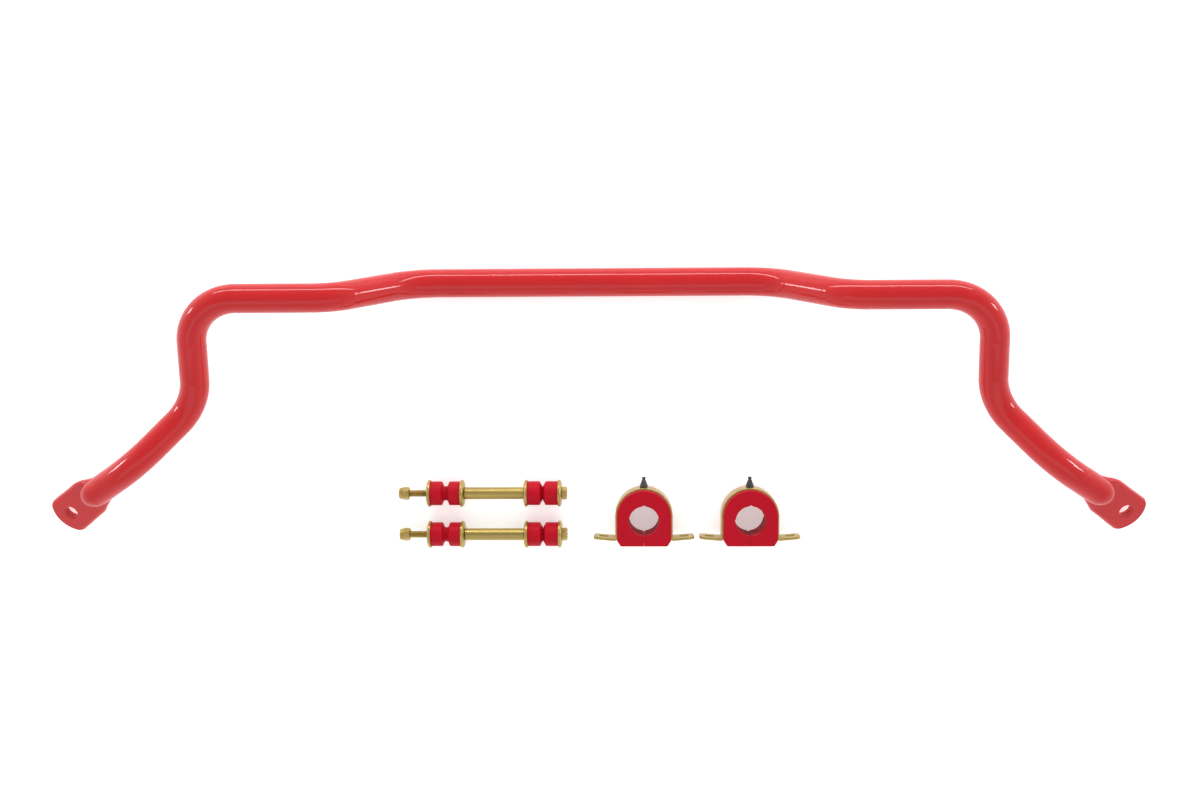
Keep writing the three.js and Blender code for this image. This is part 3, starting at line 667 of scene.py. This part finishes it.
def link_bolt(side):
    """A hexagon-headed bolt with its thread at the nut's end."""
    node = f"{side}_link_bolt"
    span = Span(node)
    tip, shank = span.start, SHANK_RADIUS
    head = span.end - HEAD_HEIGHT
    thread_start, thread_end = tip + THREAD_LEAD, tip + THREAD_LENGTH
    profile = [(tip, 0.0), (tip, shank - 1.15), (tip + 0.15, shank - 0.95)]
    profile += [(tip + 0.8, shank - 0.25)]
    profile += [(x, shank) for x in np.arange(thread_start, thread_end, PITCH / 9)]
    profile += [(x, shank) for x in np.arange(thread_end + 1, head - 1, 6.0)]
    profile += [(head - 0.5, shank), (head - 0.1, shank + 0.1), (head, shank + 0.5)]
    reach = HEX_ACROSS_FLATS  # beyond the corners, so that the hexagon's limit is what shows
    profile += [(head, 4.6), (head, HEX_ACROSS_FLATS / 2 - 0.6), (head + 0.001, reach)]
    profile += [(x, reach) for x in np.linspace(head + 0.15, span.end - 0.2, 15)]
    profile += [(span.end - 0.02, HEX_ACROSS_FLATS / 2 - 0.42)]
    profile += [(span.end, HEX_ACROSS_FLATS / 2 - 0.7), (span.end, 3.0), (span.end, 0.0)]
    thread = threaded(thread_start, thread_end, shank)
    hexagon = hex_shape(HEX_ACROSS_FLATS, head, span.end, False, True)

    def shape(angle, radius, x):
        return hexagon(angle, thread(angle, radius, x), x)

    made = lathe(f"{side}_link_bolt_finished", profile, span.axis, 96, shape, 28)
    finish_piece(made, f"{side}_link", node, ZINC)


def lock_nut(side):
    """A hexagon chamfered at both ends, with a round collar crimped over a nylon ring."""
    node = f"{side}_link_lock_nut"
    span = Span(node)
    bore, collar, collar_length = 4.25, 6.25, 3.5
    hex_start = span.start + collar_length
    reach = HEX_ACROSS_FLATS
    ring_start, ring_end, ring_radius = 1.15, 3.65, 5.35
    profile = [(span.start + 0.1, bore + 0.75), (span.start, bore + 1.0)]
    profile += [(span.start, collar - 0.9), (span.start + 0.15, collar - 0.5)]
    profile += [(span.start + 0.5, collar - 0.2), (span.start + 1.1, collar)]
    profile += [(hex_start - 0.4, collar), (hex_start - 0.05, collar + 0.12)]
    profile += [(x, reach) for x in np.linspace(hex_start, span.end - 0.1, 19)]
    profile += [(span.end, HEX_ACROSS_FLATS / 2 - 0.55), (span.end, bore + 0.7)]
    profile += [(span.end - 0.7, bore), (span.start + ring_end, bore)]
    profile += [(span.start + ring_end, ring_radius), (span.start + ring_start, ring_radius)]
    profile += [(span.start + ring_start, bore + 0.3), (span.start + 0.6, bore + 0.3)]
    shape = hex_shape(HEX_ACROSS_FLATS, hex_start, span.end - 0.05, True, True)
    made = lathe(f"{side}_link_lock_nut_finished", profile, span.axis, 96, shape, 28)
    finish_piece(made, f"{side}_link_nut", node, ZINC)


def nylon_insert(side):
    """The ring inside the lock nut's collar."""
    node = f"{side}_link_nylon_insert"
    span = Span(node)
    corners = [(0, 4.2, 0.35), (0, span.radius, 0.3), (span.length, span.radius, 0.3)]
    corners += [(span.length, 4.2, 0.35)]
    made = lathe(f"{side}_link_nylon_insert_finished", span.profile(corners), span.axis, 64)
    finish_piece(made, f"{side}_link_nut_ring", node, WHITE_NYLON)


def washer(side, place, body, facing_back):
    """A stamped cup washer: a flat seat whose rim curls over the bush."""
    node = f"{side}_link_{place}_washer"
    span = Span(node)
    disc, bore, rim = 2.4, 4.5, 1.4
    corners = [
        (0.0, bore, 0.25),
        (0.0, span.radius - 3.2, 3.0),
        (0.9, span.radius - 0.9, 1.6),
        (2.0, span.radius, 1.4),
        (span.length, span.radius - 0.15, 0.6),
        (span.length, span.radius - rim, 0.5),
        (disc, span.radius - rim - 0.15, 0.5),
        (disc, bore, 0.25),
    ]
    profile = span.profile(corners, facing_back, 6)
    made = lathe(f"{side}_link_{place}_washer_finished", profile, span.axis, 112)
    finish_piece(made, body, node, ZINC)


def bush(side, place, body, facing_back, nipple):
    """A bush with a rounded seat edge, a long chamfer and, on the clamping pair, a short neck."""
    node = f"{side}_link_{place}_bush"
    span = Span(node)
    bore = 4.4
    neck, chamfer = (8.2, 2.2) if nipple else (7.6, 3.2)
    full = span.length - nipple
    corners = [
        (0.0, bore, 0.3),
        (0.0, span.radius - 0.9, 0.5),
        (0.8, span.radius, 0.7),
        (full - chamfer, span.radius, 1.1),
        (full - 0.1, neck + 0.15, 0.7 if nipple else 0.2),
    ]
    if nipple:
        corners.append((span.length, neck - 0.15, 0.4))
    corners += [(span.length, bore + 0.5, 0.1), (span.length - 0.5, bore, 0.1)]

    def seam(angle, radius, x):
        """A fine moulding flash line down each side."""
        off = np.abs(np.sin(angle - math.radians(75)))
        ridge = BUSH_SEAM_HEIGHT * np.exp(-((off * radius / BUSH_SEAM_WIDTH) ** 2))
        return np.where(radius > neck - 0.3, radius + ridge - BUSH_SEAM_HEIGHT, radius)

    profile = span.profile(corners, facing_back, 6)
    made = lathe(f"{side}_link_{place}_bush_finished", profile, span.axis, 144, seam, 36)
    finish_piece(made, body, node, RED_RUBBER)


def spacer_sleeve(side):
    """A plain tube with its ends' edges broken."""
    node = f"{side}_link_spacer_sleeve"
    span = Span(node)
    bore, outer, end, edge = 4.5, span.radius, span.length, 0.35
    corners = [(0.0, bore + 0.4, 0.1), (0.0, outer - edge, 0.15), (edge, outer, 0.15)]
    corners += [(x, outer, 0.0) for x in np.linspace(0.9, end - 0.9, 12)]
    corners += [(end - edge, outer, 0.15), (end, outer - edge, 0.15), (end, bore + 0.4, 0.1)]
    corners += [(end - 0.4, bore, 0.1), (0.4, bore, 0.1)]
    made = lathe(f"{side}_link_spacer_sleeve_finished", span.profile(corners), span.axis, 96)
    finish_piece(made, f"{side}_link_spacer", node, DRAWN_ZINC)


for side in ("rear", "front"):
    stack, clamp, head = f"{side}_link_spacer", f"{side}_link_outer_clamp", f"{side}_link"
    link_bolt(side)
    lock_nut(side)
    nylon_insert(side)
    washer(side, "outer", clamp, False)
    bush(side, "outer", clamp, False, NIPPLE)
    bush(side, "second", stack, True, NIPPLE)
    washer(side, "second", stack, True)
    spacer_sleeve(side)
    washer(side, "third", stack, False)
    bush(side, "third", stack, False, 0.0)
    bush(side, "head", head, True, 0.0)
    washer(side, "head", head, True)


# ---------- the frame bushings and brackets ----------
def even(outline, count):
    """An open line of points, spaced evenly by length and closer at its bends."""
    steps = np.diff(outline, axis=0)
    heading = np.unwrap(np.arctan2(steps[:, 1], steps[:, 0]))
    turn = np.append(np.abs(np.diff(heading)), 0)
    weight = np.concatenate([[0], np.cumsum(np.hypot(*steps.T) + 2.5 * turn)])
    wanted = np.linspace(0, weight[-1], count)
    return np.stack([np.interp(wanted, weight, outline[:, k]) for k in (0, 1)], 1)


def bushing_half(inset, edge):
    """The right half of the D-shaped outline about the bore, from the slit to the arch's top."""
    half = BUSHING_HALF_WIDTH - inset - edge
    base = -BUSHING_BASE + edge
    corner = half - BASE_CHAMFER_X + 0.4 * edge
    lower = [
        (SLIT_WIDTH / 2, base, 0),
        (corner, base, 1.2),
        (half, -BUSHING_BASE + BASE_CHAMFER_Y + 0.3 * edge, 1.6),
        (half, ARCH_RISE, 0),
    ]
    line = rounded([(-50, base - 30, 0), *lower, (half, ARCH_RISE + 60, 0)], 6)[1:-1]
    arc = [
        (half * math.cos(a), ARCH_RISE + half * math.sin(a))
        for a in np.linspace(0, math.pi / 2, 60)[1:]
    ]
    return even(np.concatenate([line, arc]), OUTLINE_POINTS)


def bore_half(depth):
    """The right half of the bore's outline, from the slit to the top, with its grease channels."""
    start = math.asin(SLIT_WIDTH / 2 / BORE_RADIUS) - math.pi / 2
    angles = np.linspace(start, math.pi / 2, OUTLINE_POINTS)
    nearest = np.minimum(np.abs(angles), np.abs(angles - math.pi / 2))
    channel = np.exp(-((nearest / CHANNEL_ANGLE) ** 2))
    channel += np.exp(-(((angles + math.pi / 2) / CHANNEL_ANGLE) ** 2))
    radius = BORE_RADIUS + depth + CHANNEL_DEPTH * channel
    return np.stack([radius * np.cos(angles), radius * np.sin(angles)], 1)


def whole_ring(right_half, z):
    """The ring from the slit's right side round to its left, at height z."""
    left = right_half[-2::-1] * np.array([-1, 1])
    ring = np.concatenate([right_half, left])
    return np.column_stack([ring, np.full(len(ring), z)])


def frame_bushing(side):
    """A D-shaped block round the bar, with a groove for its strap, a slit and a ribbed bore."""
    node = f"{side}_frame_bushing"
    low, high = box_mm(node)
    middle = np.array([(low[0] + high[0]) / 2, low[1] + BUSHING_BASE, low[2]])
    length, edge, lip = high[2] - low[2], BUSHING_EDGE, GROOVE_LIP
    groove_start, groove_end = GROOVE_EDGE, length - GROOVE_EDGE
    angles = [math.radians(a) for a in (0, 22, 45, 68, 90)]
    quarter = [(edge * (1 - math.sin(a)), edge * (1 - math.cos(a))) for a in angles]
    outer, inner = bushing_half(0, edge), bore_half(edge)
    # up the outside, across the top face, down the bore and back across the bottom face
    rings = [whole_ring(bushing_half(0, off), depth) for off, depth in quarter]
    groove = [(groove_start - lip, 0), (groove_start - lip * 0.3, lip * 0.3), (groove_start, lip)]
    groove += [(groove_start, GROOVE_DEPTH), (groove_end, GROOVE_DEPTH)]
    groove += [(groove_end, lip), (groove_end + lip * 0.7, lip * 0.3), (groove_end + lip, 0)]
    rings += [whole_ring(bushing_half(inset, 0), z) for z, inset in groove]
    rings += [whole_ring(bushing_half(0, off), length - depth) for off, depth in quarter[::-1]]
    rings += [whole_ring(outer * (1 - t) + inner * t, length) for t in (0.35, 0.7)]
    rings += [whole_ring(bore_half(off), length - depth) for off, depth in quarter]
    for k, z in enumerate(np.linspace(length - 1.5, 1.5, 45)):
        rings.append(whole_ring(bore_half(RIB_DEPTH if k % 3 == 1 else 0.0), z))
    rings += [whole_ring(bore_half(off), depth) for off, depth in quarter[::-1]]
    rings += [whole_ring(outer * (1 - t) + inner * t, 0.0) for t in (0.7, 0.35)]
    points = len(rings[0])
    faces = grid_faces(len(rings), points, True, False)
    faces.append(tuple(j * points for j in range(len(rings))))
    faces.append(tuple(j * points + points - 1 for j in range(len(rings))))
    made = mesh_object(f"{side}_frame_bushing_finished", np.concatenate(rings) + middle, faces)
    cut(made, grease_way(middle + np.array([0, 0, length / 2])))
    finish_piece(made, f"{side}_bushing", node, RED_RUBBER)


def grease_way(middle):
    """The hole from the fitting down into the bore."""
    radius = GREASE_WAY_RADIUS
    profile = [(8.0, 0.0), (8.0, radius), (45.0, radius), (45.0, 0.0)]
    points = lathe_points(profile, 32)[:, [1, 0, 2]] + middle
    return turned("grease_way_cutter", profile, points, 32)


def strap_line():
    """The strap's middle line seen along the bore, from the left foot's tip to the right's."""
    centre_radius = BUSHING_HALF_WIDTH - GROOVE_DEPTH + GAP + STRAP_THICKNESS / 2
    foot = -BUSHING_BASE + FLANGE_ABOVE_BASE + STRAP_THICKNESS / 2
    rise = (FLANGE_REACH - centre_radius) * math.tan(FLANGE_RISE)
    corners = [(FLANGE_REACH, foot + rise, 0), (centre_radius, foot, 2.6)]
    leg = rounded([*corners, (centre_radius, ARCH_RISE, 0)], 8)[:-1]
    straight = [(centre_radius, y) for y in np.linspace(leg[-1][1], ARCH_RISE, 5)[1:]]
    arc = [
        (centre_radius * math.cos(a), ARCH_RISE + centre_radius * math.sin(a))
        for a in np.linspace(0, math.pi / 2, 40)[1:]
    ]
    tip = leg[0]
    flat = [tip + (leg[1] - tip) * t for t in 1 - np.cos(np.linspace(0, math.pi / 2, 34))]
    right = np.array([*flat, *leg[2:], *straight, *arc])
    left = right[-2::-1] * np.array([-1, 1])
    return np.concatenate([right, left])


def strap_ring(width, thickness):
    """A rounded rectangle as (across the strap, through its thickness)."""
    w, t = width / 2, thickness / 2
    edge = min(STRAP_EDGE, 0.98 * w, 0.98 * t)
    return rounded([(-w, -t, edge), (w, -t, edge), (w, t, edge), (-w, t, edge)], 4)


def bushing_bracket(side):
    """A strap over the bushing with a foot at each end, its corners and edges rounded."""
    node = f"{side}_bushing_bracket"
    low, high = box_mm(node)
    bore_height = box_mm(f"{side}_frame_bushing")[0][1] + BUSHING_BASE
    middle = np.array([(low[0] + high[0]) / 2, bore_height, (low[2] + high[2]) / 2])
    full_width = high[2] - low[2]
    line = strap_line()
    ahead = np.gradient(line, axis=0)
    ahead /= np.linalg.norm(ahead, axis=1)[:, None]
    travelled = np.concatenate([[0], np.cumsum(np.linalg.norm(np.diff(line, axis=0), axis=1))])
    to_tip = np.minimum(travelled, travelled[-1] - travelled)
    rings = []
    for point, way, distance in zip(line, ahead, to_tip):
        missing = max(0.0, FLANGE_CORNER - distance)
        narrow = FLANGE_CORNER - math.sqrt(max(0.0, FLANGE_CORNER**2 - missing**2))
        pinch = STRAP_EDGE * (1 - math.sqrt(1 - max(0.0, 1 - distance / STRAP_EDGE) ** 2))
        width = full_width - 2 * narrow - 2 * pinch
        section = strap_ring(width, STRAP_THICKNESS - 2 * pinch)
        outward = np.array([way[1], -way[0]])
        rings.append([(*(point + outward * through), across) for across, through in section])
    count = len(rings[0])
    faces = grid_faces(len(rings), count, False, True)
    faces.append(tuple(range(count)))
    faces.append(tuple((len(rings) - 1) * count + k for k in range(count)))
    points = np.array(rings).reshape(-1, 3) + middle
    made = mesh_object(f"{side}_bushing_bracket_finished", points, faces)
    cut(made, *bracket_hole_cutters(middle))
    finish_piece(made, f"{side}_bracket", node, ZINC)


def bracket_hole_cutters(middle):
    """The bolt hole in each foot, square to it, and the fitting's hole in the arch."""
    tools = []
    centre_radius = BUSHING_HALF_WIDTH - GROOVE_DEPTH + GAP
    foot = -BUSHING_BASE + FLANGE_ABOVE_BASE
    half = STRAP_THICKNESS / 2
    for sign in (-1, 1):
        height = foot + half + (FLANGE_HOLE_AT - centre_radius) * math.tan(FLANGE_RISE)
        at = middle + np.array([sign * FLANGE_HOLE_AT, height, 0])
        tools.append(rimmed_cutter(at, FLANGE_HOLE_RADIUS, half, sign * FLANGE_RISE))
    arch = middle + np.array([0, ARCH_RISE + centre_radius + half, 0])
    tools.append(rimmed_cutter(arch, FITTING_STEM + GAP, half, 0.0))
    return tools


def rimmed_cutter(at, radius, half_depth, lean):
    """A hole along Y with small countersinks where it meets both faces."""
    beyond = 2.5
    far = half_depth + beyond
    side = [(-far, radius + beyond + HOLE_RIM), (-half_depth + HOLE_RIM, radius)]
    side += [(half_depth - HOLE_RIM, radius), (far, radius + beyond + HOLE_RIM)]
    profile = [(-far, 0.0), *side, (far, 0.0)]
    points = lathe_points(profile, 48)[:, [1, 0, 2]]
    c, s = math.cos(lean), math.sin(lean)
    turn = np.array([[c, -s, 0], [s, c, 0], [0, 0, 1]])
    return turned("hole_cutter", profile, points @ turn.T + at, 48)


def seat_of(low, high):
    """The middle of a box's low Y face, where a piece that points along +Y starts."""
    return np.array([(low[0] + high[0]) / 2, low[1], (low[2] + high[2]) / 2])


def upright_lathe(name, profile, base, sides, shape=None):
    """A turned piece standing along +Y on base, from a closed profile of (height, radius)."""
    points = lathe_points(profile, sides, shape)[:, [1, 0, 2]] * np.array([1, 1, -1]) + base
    return turned(name, profile, points, sides)


def grease_fitting(side):
    """A stem through the strap, a hexagon to turn it by, and a ball-shaped head."""
    node = f"{side}_grease_fitting"
    low, high = box_mm(node)
    base = seat_of(low, high)
    length = high[1] - low[1]
    hex_low, hex_high, flats = STRAP_THICKNESS + GAP, STRAP_THICKNESS + GAP + 2.2, 5.9
    head = length - 2.4
    profile = [(0.0, 0.0), (0.0, 2.5), (0.4, 2.85), (hex_low - 0.05, 2.85)]
    profile += [(y, flats) for y in np.linspace(hex_low, hex_high, 9)]
    profile += [(hex_high + 0.05, 1.7), (hex_high + 0.35, 1.4), (head, 1.4), (head + 0.75, 1.88)]
    profile += [(head + 1.0, 1.9), (head + 1.5, 1.9), (head + 1.75, 1.75), (length, 0.95)]
    profile += [(length, 0.6), (length - 0.25, 0.45), (length - 0.25, 0.0)]
    shape = hex_shape(flats, hex_low, hex_high, False, True)
    made = upright_lathe(f"{side}_grease_fitting_finished", profile, base, 72, shape)
    finish_piece(made, f"{side}_bracket", node, ZINC)


def fitting_cap(side):
    """A soft cap of three rounded steps, with the hollow that grips the fitting."""
    node = f"{side}_fitting_cap"
    low, high = box_mm(node)
    base = seat_of(low, high)
    height, skirt = high[1] - low[1], (high[0] - low[0]) / 2
    corners = [
        (0.0, 3.77, 0.1),
        (0.0, skirt, 0.3),
        (0.9, skirt, 0.3),
        (1.3, skirt - 0.35, 0.15),
        (3.2, skirt - 0.75, 0.35),
        (3.7, 3.45, 0.3),
        (5.9, 2.95, 0.4),
        (6.4, 2.5, 0.3),
        (7.6, 2.2, 0.3),
        (8.0, 1.75, 0.15),
        (height - 2.2, 1.75, 0.15),
        (height - 1.9, 2.0, 0.2),
        (height, 1.95, 0.45),
        (height, 0.0, 0.0),
        (6.4, 0.0, 0.0),
        (6.4, 1.2, 0.1),
        (5.2, 2.2, 0.1),
        (3.4, 2.2, 0.1),
        (2.8, 3.77, 0.1),
    ]
    made = upright_lathe(f"{side}_fitting_cap_finished", rounded(corners, 4), base, 72)
    finish_piece(made, f"{side}_cap", node, BLACK_RUBBER)


for side in ("left", "right"):
    frame_bushing(side)
    bushing_bracket(side)
    grease_fitting(side)
    fitting_cap(side)


# ---------- floor, light and camera ----------
def studio_floor():
    """A white light table, which keeps the shadows faint."""
    shader = Shader("studio_floor")
    stops = [(0.3, (0.93, 0.93, 0.93)), (0.7, (0.95, 0.95, 0.95))]
    shader.colour(shader.ramp(shader.noise(8.0), stops))
    shader.set(Roughness=0.7, Specular_IOR_Level=0.2)
    shader.set(Emission_Color=WHITE, Emission_Strength=0.4)
    half = 4.0
    mesh = bpy.data.meshes.new("studio_floor")
    corners = [(-half, -half, 0), (half, -half, 0), (half, half, 0), (-half, half, 0)]
    mesh.from_pydata(corners, [], [(0, 1, 2, 3)])
    floor = bpy.data.objects.new("studio_floor", mesh)
    floor.location.z = -0.2 * MM  # just under the pieces, so that no faces coincide
    bpy.context.scene.collection.objects.link(floor)
    mesh.materials.append(shader.material)


def area_light(name, at, target, size, power):
    data = bpy.data.lights.new(name, "AREA")
    data.shape = "RECTANGLE"
    data.size, data.size_y = size
    data.energy = power
    light = bpy.data.objects.new(name, data)
    light.location = at
    light.rotation_euler = (Vector(target) - Vector(at)).to_track_quat("-Z", "Y").to_euler()
    bpy.context.scene.collection.objects.link(light)


def world_light(at_horizon, overhead):
    """White surroundings, brighter low down than straight above."""
    world = bpy.data.worlds.new("studio")
    bpy.context.scene.world = world
    world.use_nodes = True
    nodes, links = world.node_tree.nodes, world.node_tree.links
    direction = nodes.new("ShaderNodeTexCoord").outputs["Generated"]
    split = nodes.new("ShaderNodeSeparateXYZ")
    fade = nodes.new("ShaderNodeMapRange")
    fade.inputs["From Min"].default_value = 0.15
    fade.inputs["From Max"].default_value = 0.9
    fade.inputs["To Min"].default_value = at_horizon
    fade.inputs["To Max"].default_value = overhead
    links.new(direction, split.inputs["Vector"])
    links.new(split.outputs["Z"], fade.inputs["Value"])
    links.new(fade.outputs["Result"], nodes["Background"].inputs["Strength"])
    nodes["Background"].inputs["Color"].default_value = WHITE


def camera():
    data = bpy.data.cameras.new("camera")
    data.lens = 40.0
    data.sensor_width = 36.0
    data.clip_end = 20.0
    made = bpy.data.objects.new("camera", data)
    made.location = (0.05035, 0.15048, 1.49135)
    made.rotation_euler = [math.radians(a) for a in (-5.44, 1.58, -0.37)]
    bpy.context.scene.collection.objects.link(made)
    bpy.context.scene.camera = made


studio_floor()
world_light(1.2, 0.66)
area_light("overhead", (0.0, -1.3, 2.3), (0.0, 0.0, 0.0), (4.0, 1.2), 8.0)
area_light("back_strip", (0.0, 1.75, 0.68), (0.0, 0.1, 0.05), (3.6, 0.12), 22.0)
area_light("left_softbox", (-2.3, 0.55, 0.50), (0.0, 0.1, 0.05), (0.28, 0.3), 4.5)
area_light("right_softbox", (2.3, 0.55, 0.66), (0.0, 0.1, 0.05), (0.28, 0.3), 4.5)
camera()
bpy.context.scene.view_settings.view_transform = "Standard"
